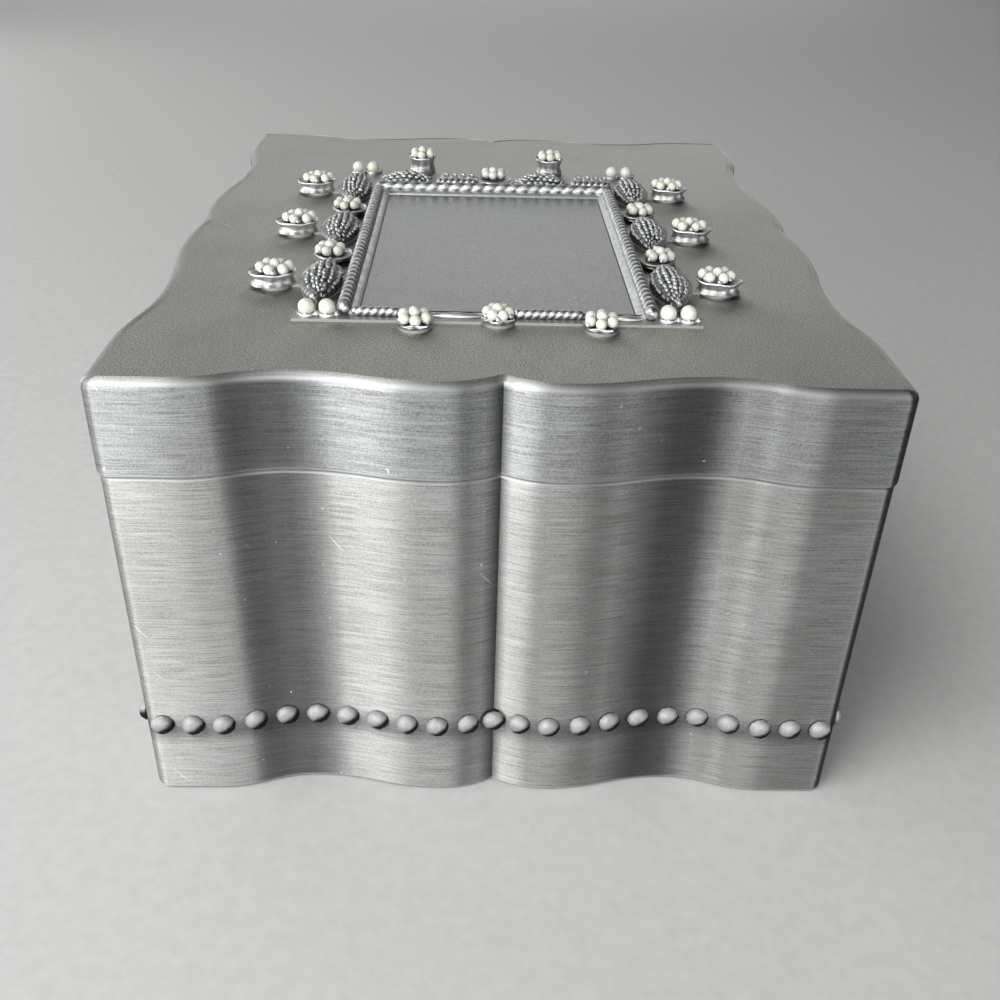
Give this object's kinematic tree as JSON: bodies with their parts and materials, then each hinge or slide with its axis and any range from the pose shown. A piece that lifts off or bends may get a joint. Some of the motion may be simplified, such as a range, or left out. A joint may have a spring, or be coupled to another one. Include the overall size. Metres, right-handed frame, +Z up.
{
  "type": "rosary box",
  "caption": "Wavy-sided metal keepsake box with a hinged lid, a row of domed studs, a pearl-set frame round a plain plate and a velvet lining.",
  "frame": {"origin": "centre of the box's footprint, on the surface that it stands on", "axes": "+X to the right across the front, +Y from the front to the hinged back, +Z up"},
  "size_m": [0.1048, 0.1324, 0.0728],
  "materials": {
    "pewter": "brushed satin pewter-coloured plate",
    "plate_metal": "smooth satin plate",
    "ornament_metal": "cast, lightly polished on the high points",
    "oxidised_metal": "cast, dark in the recesses",
    "hinge_metal": "satin",
    "steel_pin": "drawn wire",
    "pearl": "pearlescent, glossy",
    "velvet": "short-pile velvet",
    "felt": "pressed felt"
  },
  "bodies": {
    "base": {"base_shell": "pewter", "base_felt": "felt", "floor_pad": "velvet", "lining_front": "velvet", "lining_back": "velvet", "lining_left": "velvet", "lining_right": "velvet", "studs_front": "pewter", "studs_back": "pewter", "studs_left": "pewter", "studs_right": "pewter", "hinge_base_left": "hinge_metal", "hinge_base_right": "hinge_metal", "hinge_pin_left": "steel_pin", "hinge_pin_right": "steel_pin"},
    "lid": {"hinge_lid_left": "hinge_metal", "hinge_lid_right": "hinge_metal", "lid_shell": "pewter", "lid_pad": "velvet", "frame_sheet": "ornament_metal", "name_plate": "plate_metal", "rope_front": "ornament_metal", "rope_back": "ornament_metal", "rope_left": "ornament_metal", "rope_right": "ornament_metal", "leaves_left": "oxidised_metal", "leaves_right": "oxidised_metal", "leaves_back": "oxidised_metal", "stems_back": "ornament_metal", "curls_back": "ornament_metal", "cups_front": "ornament_metal", "cups_back": "ornament_metal", "cups_left": "ornament_metal", "cups_right": "ornament_metal", "pearls_front": "pearl", "pearls_back": "pearl", "pearls_left": "pearl", "pearls_right": "pearl", "corner_pearls": "pearl"}
  },
  "joints": [
    {"name": "lid_hinge", "type": "hinge", "parent": "base", "child": "lid", "pos_m": [0, 0.06504, 0.0547], "axis": [-1, 0, 0], "range_deg": [0, 100]}
  ]
}
